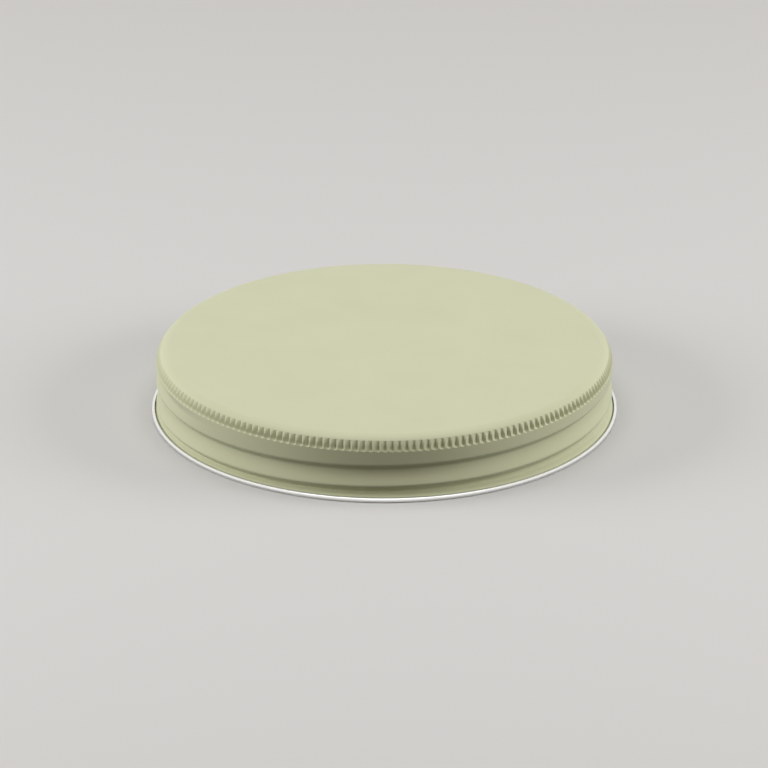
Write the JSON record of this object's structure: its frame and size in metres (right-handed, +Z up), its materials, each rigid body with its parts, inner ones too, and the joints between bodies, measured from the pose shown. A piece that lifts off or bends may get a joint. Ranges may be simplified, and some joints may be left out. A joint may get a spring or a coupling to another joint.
{
  "type": "jar lid",
  "caption": "Low round metal screw lid for a wide-mouth jar: flat panel, knurled edge, rolled thread and curled rim, with a foam sealing liner inside.",
  "frame": {"origin": "on the lid's axis, in the plane that the curled rim stands on", "axes": "+Z up through the flat panel, -Y to the front as pictured, +X to the right"},
  "size_m": [0.1038, 0.1038, 0.015],
  "materials": {
    "enamel": "satin pale cream-green enamel on the outside of the sheet",
    "bare_sheet": "bright bare tinplate, on the inside of the sheet and the outside of the curl",
    "foam": "matt white closed-cell foam"
  },
  "bodies": {
    "root": {"shell": "enamel", "liner": "foam"}
  },
  "joints": []
}
